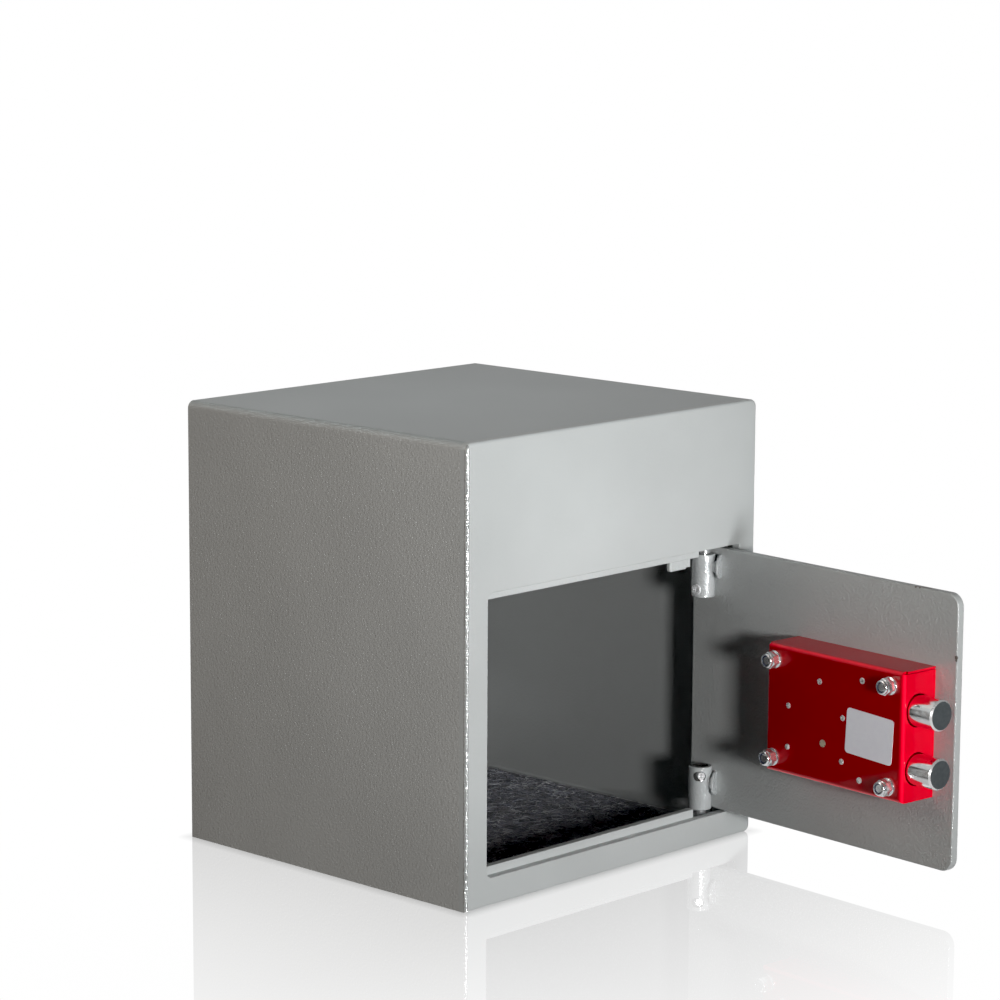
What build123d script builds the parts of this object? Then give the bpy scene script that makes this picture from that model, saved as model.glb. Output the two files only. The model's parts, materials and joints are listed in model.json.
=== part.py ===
from build123d import *
import math
import os

os.makedirs("parts", exist_ok=True)

# Deposit safe, modelled with its door standing open.
# Frame: X to the right, front face towards -Y, Z up.
# Origin: centre of the cabinet's footprint, on the plane it stands on.
# All sizes in millimetres.

# ---------------------------------------------------------------- cabinet
W = 280.0            # outer width
D = 260.0            # outer depth
H = 300.0            # outer height
SHEET = 3.0          # side, top, bottom and back sheet
FRONT_T = 6.0        # front plate
BEND_R = 5.0         # outer radius of the long folds
RETURN_X = 135.0     # the sheet's third fold ends here, under the floor's edge
FRONT_EDGE_R = 2.2   # ground edge of the welded front plate
OPEN_EDGE_R = 0.7    # softened edge of the door opening

OPEN_X0 = -120.5     # door opening in the front plate
OPEN_X1 = 124.0
OPEN_Z0 = 18.5
OPEN_Z1 = 202.8
OPEN_R = 5.0         # corners on the lock side; the hinge side is square

LEDGE_T = 5.5        # door stop strips behind the front plate
LEDGE_SHOW = 5.5     # how far a strip shows inside the opening
LEDGE_X0 = -136.0
UP_LEDGE_X1 = 89.0
LO_LEDGE_X1 = 87.0
UP_LEDGE_H = 20.0

SLOT_X = 78.0        # half width of the deposit slot in the back
SLOT_Z0 = 256.0
SLOT_Z1 = 272.0
ANCHOR_R = 6.0       # anchor bolt holes
BASE_HOLE_X = 80.0   # half spacing of the holes in the base
BACK_HOLE_X = 80.0   # half spacing of the holes in the back
BACK_HOLE_Z = 110.0

MAT_T = 2.6          # carpet mat
MAT_X = 131.0
MAT_Y0 = -96.0
MAT_Y1 = 121.0

# ---------------------------------------------------------------- door
DOOR_W = 237.4
DOOR_T = 5.8
DOOR_Z0 = 20.3
DOOR_Z1 = 201.3
DOOR_CORNER_R = 9.0
DOOR_EDGE_R = 0.9
HINGE_EDGE_X = 120.6      # hinge-side edge of the shut door
INNER_Y = -124.2          # inner face of the shut door
OPEN_DEG = 85.0           # how far the door stands open

PIV_U = 17.5              # pivot axis from the hinge-side edge
PIV_W = 8.0               # pivot axis behind the door's inner face
TUBE_R = 8.0
LO_TUBE_LEN = 30.0
UP_TUBE_LEN = 29.5
TUBE_BORE_R = 4.6
TUBE_LO_Z = 20.6
TUBE_UP_Z = 168.0
PIN_R = 4.5
PIN_HOLE_R = 4.55

# ---------------------------------------------------------------- lock
CASE_U0 = 100.0
CASE_U1 = 220.0
CASE_Z0 = 67.2
CASE_Z1 = 152.7
CASE_D = 30.0             # depth of the case from the door's inner face
CASE_T = 1.5
CASE_BEND_R = 3.2
BASE_T = 2.5              # lock base plate

BOLT_R = 10.25
BOLT_W = 15.8             # bolt axis from the door's inner face
BOLT_ZU = 126.3
BOLT_ZL = 88.1
BOLT_TIP_U = 240.0        # bolt ends, drawn back
BOLT_TAIL_U = 177.0
BOLT_HOLE_R = 10.95
THROW = 14.0

STUDS = ((108.0, 142.7), (107.2, 77.2), (209.3, 142.6), (209.1, 76.8))
STUD_R = 3.0
STUD_END_W = 39.1
NUT_AF = 10.0
NUT_H = 8.0
NUT_TURN = (17.0, 12.0, 21.0, 8.0)   # how far each nut is turned
WASHER_R = 5.85
WASHER_T = 1.6

KEY_U = 151.4             # key axis
KEY_Z = 94.2
ROTOR_R = 5.8

POSTS = ((120.2, 113.8), (120.0, 86.2), (168.5, 114.1), (168.2, 85.3))
POST_R = 2.3
COVER_RIVETS = ((184.9, 141.4), (184.1, 76.0))
ANCHOR_U, ANCHOR_Z = 147.7, 134.5

LEVER_N = 6
LEVER_T = 1.5
LEVER_GAP = 0.6
LEVER_W0 = 8.4
LEVER_LIFT = 2.0

px = HINGE_EDGE_X - PIV_U
py = INNER_Y + PIV_W


def box(x0, x1, y0, y1, z0, z1):
    return Pos((x0 + x1) / 2, (y0 + y1) / 2, (z0 + z1) / 2) * Box(x1 - x0, y1 - y0, z1 - z0)


def cyl_z(x, y, r, z0, z1):
    return Pos(x, y, (z0 + z1) / 2) * Cylinder(r, z1 - z0)


def cyl_y(x, z, r, y0, y1):
    return Pos(x, (y0 + y1) / 2, z) * Rot(90, 0, 0) * Cylinder(r, y1 - y0)


def cyl_x(y, z, r, x0, x1):
    return Pos((x0 + x1) / 2, y, z) * Rot(0, 90, 0) * Cylinder(r, x1 - x0)


# Door coordinates of the shut door: u from the hinge-side edge towards the
# free edge, w from the inner face into the cabinet, z up.
def X(u):
    return HINGE_EDGE_X - u


def Y(w):
    return INNER_Y + w


def dbox(u0, u1, w0, w1, z0, z1):
    return box(X(u1), X(u0), Y(w0), Y(w1), z0, z1)


def dcyl_w(u, z, r, w0, w1):
    return cyl_y(X(u), z, r, Y(w0), Y(w1))


def dcyl_u(w, z, r, u0, u1):
    return cyl_x(Y(w), z, r, X(u1), X(u0))


def opened(shape):
    """Swing a piece of the door from shut to where the door stands."""
    return Pos(px, py, 0) * Rot(0, 0, OPEN_DEG) * Pos(-px, -py, 0) * shape


def rounded_xz(x0, x1, z0, z1, r, y0, y1):
    """A plate lying in XZ with rounded corners, from y0 to y1."""
    face = RectangleRounded(x1 - x0, z1 - z0, r)
    solid = extrude(face, y1 - y0)
    return Pos((x0 + x1) / 2, y1, (z0 + z1) / 2) * Rot(90, 0, 0) * solid


def save(name, shape):
    export_step(shape, "parts/" + name + ".step")


def group(solids):
    return Compound(children=list(solids))


# ================================================================ cabinet
# One sheet folded over left side, top and right side, with a short return
# under the right edge of the floor.
wrap_y0 = -D / 2 + FRONT_T
outer = box(-W / 2, W / 2, wrap_y0, D / 2, 0, H)
long_folds = [e for e in outer.edges().filter_by(Axis.Y) if e.center().Z > H - 1 or e.center().X > 0]
outer = fillet(long_folds, BEND_R)
inner = box(-W / 2 + SHEET, W / 2 - SHEET, wrap_y0 - 1, D / 2 + 1, SHEET, H - SHEET)
in_long = [e for e in inner.edges().filter_by(Axis.Y) if e.center().Z > H - SHEET - 1 or e.center().X > 0]
inner = fillet(in_long, BEND_R - SHEET)
inner += box(-W / 2 + SHEET, RETURN_X, wrap_y0 - 1, D / 2 + 1, -1, SHEET + 1)
wrap = outer - inner
save("cabinet_wrap", wrap)

bottom = box(-W / 2 + SHEET, RETURN_X, wrap_y0, D / 2 - SHEET, 0, SHEET)
for sx in (-1, 1):
    bottom -= cyl_z(sx * BASE_HOLE_X, 0, ANCHOR_R, -1, SHEET + 1)
save("bottom_plate", bottom)

back = box(-W / 2 + SHEET, W / 2 - SHEET, D / 2 - SHEET, D / 2, 0, H - SHEET) & inner
back -= rounded_xz(-SLOT_X, SLOT_X, SLOT_Z0, SLOT_Z1, 4.0, D / 2 - SHEET - 1, D / 2 + 1)
for sx in (-1, 1):
    back -= cyl_y(sx * BACK_HOLE_X, BACK_HOLE_Z, ANCHOR_R, D / 2 - SHEET - 1, D / 2 + 1)
save("back_plate", back)

# Thick front plate, welded to the wrap all round, with the door opening.
front = box(-W / 2, W / 2, -D / 2, wrap_y0, 0, H)
f_long = [e for e in front.edges().filter_by(Axis.Y) if e.center().Z > H - 1 or e.center().X > 0]
front = fillet(f_long, BEND_R)
f_rim = [e for e in front.edges() if abs(e.center().Y + D / 2) < 0.01 and e.center().Z > 0.5]
front = fillet(f_rim, FRONT_EDGE_R)
opening = box(OPEN_X0, OPEN_X1, -D / 2 - 1, wrap_y0 + 1, OPEN_Z0, OPEN_Z1)
opening = fillet([e for e in opening.edges().filter_by(Axis.Y) if e.center().X < 0], OPEN_R)
front -= opening
o_rim = [e for e in front.edges() if abs(e.center().Y + D / 2) < 0.01
         and OPEN_X0 - 0.1 < e.center().X < OPEN_X1 + 0.1 and OPEN_Z0 - 0.1 < e.center().Z < OPEN_Z1 + 0.1]
front = fillet(o_rim, OPEN_EDGE_R)
save("front_plate", front)

# Stop strips that the shut door lies against.
up_ledge = box(LEDGE_X0, UP_LEDGE_X1, wrap_y0, wrap_y0 + LEDGE_T,
               OPEN_Z1 - LEDGE_SHOW, OPEN_Z1 - LEDGE_SHOW + UP_LEDGE_H)
up_ledge = fillet([e for e in up_ledge.edges() if abs(e.center().Z - (OPEN_Z1 - LEDGE_SHOW)) < 0.01
                   and abs(e.center().Y - wrap_y0) < 0.01], 0.6)
save("upper_door_stop", up_ledge)
lo_ledge = box(LEDGE_X0, LO_LEDGE_X1, wrap_y0, wrap_y0 + LEDGE_T, SHEET, OPEN_Z0 + LEDGE_SHOW)
lo_ledge = fillet([e for e in lo_ledge.edges() if abs(e.center().Z - (OPEN_Z0 + LEDGE_SHOW)) < 0.01
                   and e.length > 50], 0.6)
save("lower_door_stop", lo_ledge)

# Hinge brackets of the cabinet. The upper one is a plate above the opening
# with a strip that hangs down behind the stop; the lower one is a block.
UPB_Z0 = OPEN_Z1 + 2.4
upper_bracket = box(66.5, 122.0, wrap_y0, -102.0, UPB_Z0, UPB_Z0 + 5.0)
upper_bracket -= box(65.0, UP_LEDGE_X1 + 0.2, wrap_y0 - 1, wrap_y0 + LEDGE_T, UPB_Z0 - 1, UPB_Z0 + 6)
leg = box(66.5, 86.5, wrap_y0 + LEDGE_T, wrap_y0 + LEDGE_T + 3.0, 189.3, UPB_Z0 + 5.0)
leg = fillet([e for e in leg.edges() if abs(e.center().X - 66.5) < 0.01 and abs(e.center().Z - 189.3) < 0.01], 1.4)
leg = fillet([e for e in leg.edges() if abs(e.center().X - 66.5) < 0.01
              and abs(e.center().Y - (wrap_y0 + LEDGE_T)) < 0.01 and e.length > 5], 1.2)
leg -= box(82.2, 90.0, wrap_y0, wrap_y0 + 12.0, 188.0, 190.6)
upper_bracket += leg
upper_bracket -= cyl_z(px, py, PIN_HOLE_R, UPB_Z0 - 1, UPB_Z0 + 6)
save("upper_hinge_bracket", upper_bracket)

lower_bracket = box(90.0, 122.0, wrap_y0, -102.0, SHEET, 14.0)
lower_bracket -= cyl_z(px, py, PIN_HOLE_R, SHEET - 1, 15)
save("lower_hinge_bracket", lower_bracket)

# Deposit chute behind the slot: a folded channel that slopes down into the
# cabinet, with cheeks, so that what is dropped in slides forwards and falls.
CH_T = 1.5
ch_y1 = D / 2 - SHEET
with BuildPart() as chute_bp:
    with BuildSketch(Plane.YZ.offset(-SLOT_X - 4)):
        with BuildLine():
            Polyline((ch_y1, SLOT_Z0 - 2), (ch_y1 - 6, SLOT_Z0 - 2), (ch_y1 - 62, SLOT_Z0 - 34),
                     (ch_y1 - 62.745, SLOT_Z0 - 32.695), (ch_y1 - 6.4, SLOT_Z0 - 0.5),
                     (ch_y1, SLOT_Z0 - 0.5), close=True)
        make_face()
    extrude(amount=2 * (SLOT_X + 4))
chute = chute_bp.part
for x0 in (-SLOT_X - 4 - CH_T, SLOT_X + 4):
    with BuildPart() as ck:
        with BuildSketch(Plane.YZ.offset(x0)):
            with BuildLine():
                Polyline((ch_y1, SLOT_Z0 - 2), (ch_y1 - 6, SLOT_Z0 - 2), (ch_y1 - 62, SLOT_Z0 - 34),
                         (ch_y1 - 62, SLOT_Z0 - 18), (ch_y1 - 22, SLOT_Z1 + 6), (ch_y1, SLOT_Z1 + 6), close=True)
            make_face()
        extrude(amount=CH_T)
    chute += ck.part
save("deposit_chute", chute)

# Hood that closes the chute from above and stops a hand or hook reaching in.
with BuildPart() as hood_bp:
    with BuildSketch(Plane.YZ.offset(-SLOT_X - 12)):
        with BuildLine():
            Polyline((ch_y1 - 28, H - SHEET), (ch_y1 - 28, H - SHEET - CH_T), (ch_y1 - 44, H - SHEET - CH_T),
                     (ch_y1 - 84, SLOT_Z0 - 44), (ch_y1 - 85.7, SLOT_Z0 - 44), (ch_y1 - 45.6, H - SHEET),
                     close=True)
        make_face()
    extrude(amount=2 * (SLOT_X + 12))
hood = hood_bp.part
save("anti_fishing_hood", hood)

# Carpet mat, laid over the anchor holes.
mat = box(-MAT_X, MAT_X, MAT_Y0, MAT_Y1, SHEET, SHEET + MAT_T)
save("carpet_mat", mat)

# ================================================================ door
plate = rounded_xz(X(DOOR_W), X(0), DOOR_Z0, DOOR_Z1, DOOR_CORNER_R, Y(-DOOR_T), Y(0))
rim = [e for e in plate.edges() if abs(e.center().Y - Y(0)) < 0.01 or abs(e.center().Y - Y(-DOOR_T)) < 0.01]
plate = fillet(rim, DOOR_EDGE_R)
plate -= dcyl_w(KEY_U, KEY_Z, ROTOR_R + 0.08, -DOOR_T - 1, 1)
for du in (-13.0, 13.0):
    plate -= dcyl_w(KEY_U + du, KEY_Z, 1.5, -DOOR_T - 1, -DOOR_T + 4)
save("door_plate", opened(plate))


def hinge_tube(z0, length, screw_z, degs, hole_r):
    t = cyl_z(px, py, TUBE_R, z0, z0 + length)
    t = fillet([e for e in t.edges() if e.geom_type == GeomType.CIRCLE], 0.8)
    t -= cyl_z(px, py, TUBE_BORE_R, z0 - 1, z0 + length + 1)
    # flared mouth at the end away from the bracket
    mouth_z = z0 + length if z0 < 100 else z0
    t -= Pos(px, py, mouth_z) * Cylinder(5.5, 4.0)
    # hole for the clamping screw, on the side that faces the cabinet
    for deg in degs:
        t -= Pos(px, py, screw_z) * Rot(0, 0, deg) * Pos(6.0, 0, 0) * Rot(0, 90, 0) * Cylinder(hole_r, 8.0)
    return t


# Directions of the clamping screws with the door shut. The upper screw has a
# pan head outside the tube, the lower one is sunk in a wide access hole that
# was drilled in three steps.
LO_SCREW_DEG = 142.0
LO_HOLE_DEGS = (122.0, 130.5, 139.0)
UP_SCREW_DEG = 102.0
LO_SCREW_Z = 44.4
UP_SCREW_Z = 173.7
save("upper_hinge_tube", opened(hinge_tube(TUBE_UP_Z, UP_TUBE_LEN, UP_SCREW_Z, (UP_SCREW_DEG,), 2.7)))
save("lower_hinge_tube", opened(hinge_tube(TUBE_LO_Z, LO_TUBE_LEN, LO_SCREW_Z, LO_HOLE_DEGS, 3.25)))

# Pins: clamped in the tubes, turning in the brackets.
up_pin = cyl_z(px, py, PIN_R, UP_SCREW_Z - 5.0, UPB_Z0 + 6.5)
up_pin = chamfer([e for e in up_pin.edges() if e.geom_type == GeomType.CIRCLE], 0.8)
lo_pin = cyl_z(px, py, PIN_R, SHEET + 0.3, LO_SCREW_Z + 4.2)
lo_pin = chamfer([e for e in lo_pin.edges() if e.geom_type == GeomType.CIRCLE], 0.8)


def screw_seat(pin, z, deg):
    return pin - Pos(px, py, z) * Rot(0, 0, deg) * Pos(4.5, 0, 0) * Rot(0, 90, 0) * Cylinder(2.6, 3.0)


save("upper_hinge_pin", opened(screw_seat(up_pin, UP_SCREW_Z, UP_SCREW_DEG)))
save("lower_hinge_pin", opened(screw_seat(lo_pin, LO_SCREW_Z, LO_SCREW_DEG)))


def clamp_screw(z, deg, out, head_r):
    s = Pos((out + 3.1) / 2, 0, 0) * Rot(0, 90, 0) * Cylinder(2.5, out - 3.1)
    if head_r > 0:
        head = Pos(TUBE_R + 0.62, 0, 0) * Rot(0, 90, 0) * Cylinder(head_r, 1.2)
        head = fillet([e for e in head.edges() if e.geom_type == GeomType.CIRCLE and e.center().X > TUBE_R + 1], 0.5)
        s += head
        out = TUBE_R + 1.22
    for a in (0, 90):
        s -= Pos(out, 0, 0) * Rot(a, 0, 0) * Box(2.0, 0.7, 3.4)
    return Pos(px, py, z) * Rot(0, 0, deg) * s


save("hinge_clamp_screws", opened(group([clamp_screw(UP_SCREW_Z, UP_SCREW_DEG, 8.5, 3.5),
                                         clamp_screw(LO_SCREW_Z, LO_SCREW_DEG, 6.8, 0)])))


# Bell-shaped lug: a thin neck at the tube that flares to a round rim on the door.
def lug(u, z):
    n = (0.86, -0.51)     # direction of the lug's axis in (u, w)
    ang = math.degrees(math.atan2(n[1], -n[0]))
    with BuildPart() as bp:
        with BuildSketch(Plane.XZ):
            with BuildLine():
                Line((0, -9.0), (3.1, -9.0))
                Line((3.1, -9.0), (3.1, -7.4))
                ThreePointArc((3.1, -7.4), (4.7, -3.0), (8.2, -0.6))
                Line((8.2, -0.6), (8.2, 0.4))
                ThreePointArc((8.2, 0.4), (8.06, 0.75), (7.7, 0.9))
                Line((7.7, 0.9), (0, 0.9))
                Line((0, 0.9), (0, -9.0))
            make_face()
        revolve(axis=Axis.Z)
    s = Pos(X(u), Y(2.4), z) * Rot(0, 0, ang) * Rot(0, 90, 0) * bp.part
    s -= box(X(u) - 30, X(u) + 30, Y(-30), Y(0), z - 30, z + 30)
    s -= cyl_z(px, py, TUBE_R, z - 40, z + 40)
    return s.solids().sort_by(SortBy.VOLUME)[-1]


save("hinge_lugs", opened(group([lug(27.4, 188.6), lug(25.8, 38.6)])))

# ================================================================ lock, fixed
case = dbox(CASE_U0, CASE_U1, 0, CASE_D, CASE_Z0, CASE_Z1)
case = fillet([e for e in case.edges() if abs(e.center().Y - Y(CASE_D)) < 0.01], CASE_BEND_R)
hollow = dbox(CASE_U0 + CASE_T, CASE_U1 - CASE_T, -1, CASE_D - CASE_T, CASE_Z0 + CASE_T, CASE_Z1 - CASE_T)
hollow = fillet([e for e in hollow.edges() if abs(e.center().Y - Y(CASE_D - CASE_T)) < 0.01], CASE_BEND_R - CASE_T)
case -= hollow
for z in (BOLT_ZU, BOLT_ZL):
    case -= dcyl_u(BOLT_W, z, BOLT_HOLE_R, CASE_U1 - 6, CASE_U1 + 2)
for (u, z) in STUDS:
    case -= dcyl_w(u, z, STUD_R + 0.3, CASE_D - 5, CASE_D + 1)
for (u, z) in POSTS:
    case -= dcyl_w(u, z, 1.95, CASE_D - 4, CASE_D + 1)
for (u, z) in COVER_RIVETS:
    case -= dcyl_w(u, z, 1.55, CASE_D - 4, CASE_D + 1)
case -= dcyl_w(ANCHOR_U, ANCHOR_Z, 2.05, CASE_D - 4, CASE_D + 1)
case -= dcyl_w(KEY_U, KEY_Z, 2.58, CASE_D - 4, CASE_D + 1)
# relief notches and open seams where the top flange meets the end flanges
for (u0, u1) in ((CASE_U0 - 1, CASE_U0 + 1.7), (CASE_U1 - 1.7, CASE_U1 + 1)):
    case -= dbox(u0, u1, CASE_D - 3.7, CASE_D + 1, CASE_Z1 - 1.7, CASE_Z1 + 1)
case -= dbox(CASE_U1 - CASE_T, CASE_U1 + 1, -1, CASE_D - 3, CASE_Z1 - CASE_T - 0.35, CASE_Z1 - CASE_T)
case -= dbox(CASE_U0 - 1, CASE_U0 + CASE_T, -1, CASE_D - 3, CASE_Z1 - CASE_T - 0.35, CASE_Z1 - CASE_T)
save("lock_case", opened(case))

base = dbox(CASE_U0 + 1.8, CASE_U1 - 1.8, 0, BASE_T, CASE_Z0 + 2.0, CASE_Z1 - 2.0)
for (u, z) in STUDS:
    base -= dcyl_w(u, z, STUD_R + 0.3, -1, BASE_T + 1)
base -= dcyl_w(KEY_U, KEY_Z, ROTOR_R + 0.08, -1, BASE_T + 1)
for (u, z) in POSTS:
    base -= dcyl_w(u, z, 1.5, -1, BASE_T + 1)
for (u, z) in COVER_RIVETS:
    base -= dcyl_w(u, z, 1.2, -1, BASE_T + 1)
save("lock_base_plate", opened(base))

studs, washers, nuts, inserts = [], [], [], []
for i, (u, z) in enumerate(STUDS):
    s = dcyl_w(u, z, STUD_R, 0, STUD_END_W)
    s = chamfer([e for e in s.edges() if abs(e.center().Y - Y(STUD_END_W)) < 0.01], 0.6)
    studs.append(s)
    w = dcyl_w(u, z, WASHER_R, CASE_D, CASE_D + WASHER_T)
    w = fillet([e for e in w.edges() if abs(e.center().Y - Y(CASE_D + WASHER_T)) < 0.01], 0.35)
    w -= dcyl_w(u, z, STUD_R + 0.25, CASE_D - 1, CASE_D + 3)
    washers.append(w)
    w0 = CASE_D + WASHER_T
    hexa = extrude(RegularPolygon(NUT_AF / 2, 6, major_radius=False), NUT_H - 2.4)
    hexa = Pos(X(u), Y(w0 + NUT_H - 2.4), z) * Rot(90, 0, 0) * Rot(0, 0, NUT_TURN[i]) * hexa
    dome = dcyl_w(u, z, NUT_AF / 2 * 1.11, w0, w0 + NUT_H - 2.4)
    dome = chamfer([e for e in dome.edges() if e.geom_type == GeomType.CIRCLE], 0.6)
    hexa = hexa & dome
    collar = dcyl_w(u, z, 4.75, w0 + NUT_H - 2.8, w0 + NUT_H)
    collar = fillet([e for e in collar.edges() if abs(e.center().Y - Y(w0 + NUT_H)) < 0.01], 1.1)
    n = hexa + collar
    n -= dcyl_w(u, z, STUD_R + 0.05, w0 - 1, w0 + NUT_H + 1)
    # pocket for the nylon ring, under the rolled-over lip
    n -= dcyl_w(u, z, 3.95, w0 + NUT_H - 2.2, w0 + NUT_H - 0.55)
    n -= dcyl_w(u, z, 3.4, w0 + NUT_H - 1.0, w0 + NUT_H + 1)
    nuts.append(n)
    ins = dcyl_w(u, z, 3.9, w0 + NUT_H - 2.15, w0 + NUT_H - 0.6)
    ins -= dcyl_w(u, z, STUD_R + 0.05, w0, w0 + NUT_H + 1)
    inserts.append(ins)
save("lock_studs", opened(group(studs)))
save("lock_washers", opened(group(washers)))
save("lock_nuts", opened(group(nuts)))
save("nut_inserts", opened(group(inserts)))

posts = []
for i, (u, z) in enumerate(POSTS):
    p = dcyl_w(u, z, POST_R, BASE_T, CASE_D - CASE_T)
    p += dcyl_w(u, z, 1.45, 0.05, BASE_T + 0.1)
    end = dcyl_w(u, z, 1.9, CASE_D - CASE_T - 0.1, CASE_D + 0.45)
    end = fillet([e for e in end.edges() if abs(e.center().Y - Y(CASE_D + 0.45)) < 0.01], 0.35)
    p += end
    if i < 2:
        p -= Pos(X(u), Y(CASE_D + 0.45), z) * Rot(0, 38 + 25 * i, 0) * Box(5.0, 1.0, 0.6)
    if i == 2:
        p -= dcyl_w(u, z, 0.9, CASE_D - 1.2, CASE_D + 1)
    posts.append(p)
save("guide_posts", opened(group(posts)))

rivets = []
for i, (u, z) in enumerate(COVER_RIVETS):
    p = dcyl_w(u, z, 1.5, BASE_T, CASE_D)
    p += dcyl_w(u, z, 1.15, 0.05, BASE_T + 0.1)
    head = dcyl_w(u, z, 2.1, CASE_D, CASE_D + 0.6)
    head = fillet([e for e in head.edges() if abs(e.center().Y - Y(CASE_D + 0.6)) < 0.01], 0.45)
    p += head
    if i == 0:
        p -= dcyl_w(u, z, 0.9, CASE_D - 1.0, CASE_D + 1)
    rivets.append(p)
save("cover_rivets", opened(group(rivets)))

# Block that holds the lever springs, with its slotted screw.
sb = dbox(ANCHOR_U - 14, ANCHOR_U + 14, LEVER_W0 - 0.4, 24.0, ANCHOR_Z - 2.4, ANCHOR_Z + 3.6)
sb -= dcyl_w(ANCHOR_U, ANCHOR_Z, 1.6, 0, 40)
save("spring_block", opened(sb))
scr = dcyl_w(ANCHOR_U, ANCHOR_Z, 1.55, BASE_T, CASE_D - CASE_T)
scr_h = dcyl_w(ANCHOR_U, ANCHOR_Z, 2.0, CASE_D - CASE_T - 0.1, CASE_D + 0.4)
scr += scr_h
scr -= Pos(X(ANCHOR_U), Y(CASE_D + 0.4), ANCHOR_Z) * Rot(0, 12, 0) * Box(6.0, 1.0, 0.6)
save("spring_block_screw", opened(scr))

lab = extrude(RectangleRounded(40.3, 29.9, 2.6), 0.25)
lab = Pos(X(191.9), Y(CASE_D + 0.25), 106.3) * Rot(0, -2.9, 0) * Rot(90, 0, 0) * lab
save("blank_label", opened(lab))

# ================================================================ lock, moving
bolts = []
for z in (BOLT_ZU, BOLT_ZL):
    b = dcyl_u(BOLT_W, z, BOLT_R, BOLT_TAIL_U, BOLT_TIP_U)
    tip = [e for e in b.edges() if e.geom_type == GeomType.CIRCLE and abs(e.center().X - X(BOLT_TIP_U)) < 0.01]
    b = chamfer(tip, 1.1)
    if z == BOLT_ZL:
        # flat that clears the stud beside the bolt
        b -= dbox(BOLT_TAIL_U - 1, 214.2, 0, 40, z - 20, STUDS[3][1] + STUD_R + 0.45)
    b -= dcyl_u(BOLT_W, z, 2.55, BOLT_TAIL_U - 1, BOLT_TAIL_U + 14)
    bolts.append(b)
save("upper_bolt", opened(bolts[0]))
save("lower_bolt", opened(bolts[1]))

CAR_W0, CAR_W1 = 3.0, 7.0
car = dbox(126.0, 173.0, CAR_W0, CAR_W1, 79.5, 134.0)
car -= dbox(KEY_U - THROW - ROTOR_R - 0.8, KEY_U + ROTOR_R + 0.8, 0, 10, KEY_Z - ROTOR_R - 0.8, KEY_Z + ROTOR_R + 0.8)
for (u, z) in POSTS[2:]:
    c = POST_R + 0.3
    car -= dbox(u - THROW - c - 0.2, u + c + 0.2, 0, 10, z - c, z + c)
car -= dbox(ANCHOR_U - THROW - 2.2, ANCHOR_U + 2.2, 0, 10, ANCHOR_Z - 2.4, ANCHOR_Z + 4)
flange = dbox(172.0, BOLT_TAIL_U, CAR_W0, 26.2, 79.5, 134.0)
flange -= dbox(171.0, BOLT_TAIL_U + 1, 9.0, 40, 99.5, 115.5)
car += flange
for z in (BOLT_ZU, BOLT_ZL):
    car -= dcyl_u(BOLT_W, z, 2.75, 171, 178)
    car -= dcyl_u(BOLT_W, z, 4.6, 171, 174.2)
# stump that runs in the lever gates
STUMP_U, STUMP_Z = 130.5, 109.0
LEVER_W1 = LEVER_W0 + LEVER_N * LEVER_T + (LEVER_N - 1) * LEVER_GAP
car += dbox(STUMP_U - 2, STUMP_U + 2, CAR_W1 - 0.1, LEVER_W1 + 0.8, STUMP_Z - 2, STUMP_Z + 2)
save("bolt_carriage", opened(car))

bs = []
for z in (BOLT_ZU, BOLT_ZL):
    s = dcyl_u(BOLT_W, z, 2.5, 174.0, BOLT_TAIL_U + 12)
    s += dcyl_u(BOLT_W, z, 4.5, 172.1, 174.1)
    s -= dcyl_u(BOLT_W, z, 1.6, 171, 173.6)
    bs.append(s)
save("bolt_screws", opened(group(bs)))

rot_w1 = LEVER_W1 + 1.2
rotor = dcyl_w(KEY_U, KEY_Z, ROTOR_R, -DOOR_T + 0.1, rot_w1)
rotor += dcyl_w(KEY_U, KEY_Z, 2.5, rot_w1 - 0.1, CASE_D + 0.3)
rotor -= dbox(KEY_U - 1.1, KEY_U + 1.1, -DOOR_T - 1, rot_w1 - 1.5, KEY_Z - 4.6, KEY_Z + 4.6)
rotor -= dcyl_w(KEY_U, KEY_Z, 1.9, -DOOR_T - 1, rot_w1 - 1.5)
save("key_rotor", opened(rotor))

levers = []
springs = []
for i in range(LEVER_N):
    w0 = LEVER_W0 + i * (LEVER_T + LEVER_GAP)
    w1 = w0 + LEVER_T
    lv = dbox(111.0, 165.0, w0, w1, 81.0, 121.5)
    lv = fillet([e for e in lv.edges().filter_by(Axis.Y)], 3.0)
    lv -= dcyl_w(KEY_U, KEY_Z - LEVER_LIFT / 2, 8.6, w0 - 1, w1 + 1)
    lv -= dbox(KEY_U - 8.6, KEY_U + 8.6, w0 - 1, w1 + 1, KEY_Z - 1.5, KEY_Z + 1.5)
    for (u, z) in POSTS[:2]:
        c = POST_R + 0.3
        lv -= dbox(u - c, u + c, w0 - 1, w1 + 1, z - c - LEVER_LIFT, z + c)
    lv -= dbox(STUMP_U - 3.0, STUMP_U + THROW + 3.0, w0 - 1, w1 + 1, STUMP_Z - 2.4 - LEVER_LIFT, STUMP_Z + 2.4)
    # notched pocket of the gate, a different one on each lever
    lv -= dbox(STUMP_U + 3.5, STUMP_U + THROW - 3.5, w0 - 1, w1 + 1, STUMP_Z, STUMP_Z + 4.0 + 0.6 * (i % 3))
    levers.append(lv)
    # leaf spring bent up from the lever's back to the block above it
    zt, zb = ANCHOR_Z - 2.4, 121.5
    t = 0.4
    line = [(126.0, zb + 0.1), (136.0, zb + 0.1), (152.0, zt - 0.1 - t), (158.0, zt - 0.1 - t)]
    strip = [(X(u), z) for (u, z) in line] + [(X(u), z + t) for (u, z) in reversed(line)]
    with BuildPart() as sp:
        with BuildSketch(Plane.XZ.offset(-Y(w0 + 0.25))):
            with BuildLine():
                Polyline(*strip, close=True)
            make_face()
        extrude(amount=-(LEVER_T - 0.5))
    springs.append(sp.part)
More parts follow.
